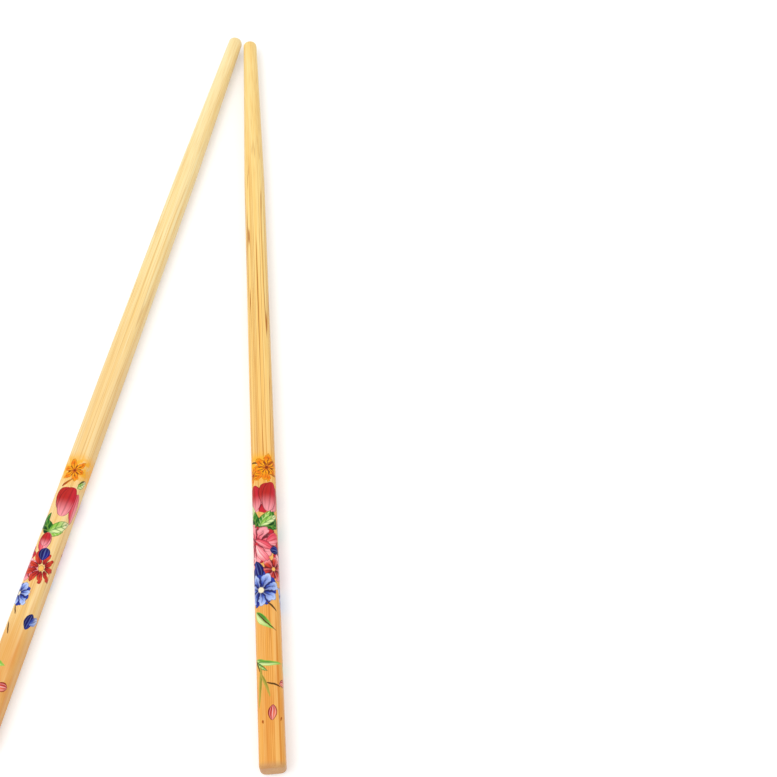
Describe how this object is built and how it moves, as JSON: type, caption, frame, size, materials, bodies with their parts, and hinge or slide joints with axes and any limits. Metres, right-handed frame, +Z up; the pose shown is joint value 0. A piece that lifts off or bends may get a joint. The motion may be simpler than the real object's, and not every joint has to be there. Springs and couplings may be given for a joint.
{
  "type": "pair of chopsticks",
  "caption": "Pair of bamboo chopsticks laid in an open V, square rounded handles turned to slender round tips, printed flowers on the handles.",
  "frame": {"origin": "on the surface that the pair lies on, under the middle of its bounding box", "axes": "+Z up, +Y along the V from the handle ends to the tips, +X across the pair to the right chopstick"},
  "size_m": [0.073, 0.24, 0.006],
  "materials": {
    "pale_bamboo": "pale lacquered bamboo with a wrapped floral print on the handle",
    "golden_bamboo": "golden lacquered bamboo with a wrapped floral print on the handle"
  },
  "bodies": {
    "root": {"left_chopstick": "pale_bamboo", "right_chopstick": "golden_bamboo"}
  },
  "joints": []
}
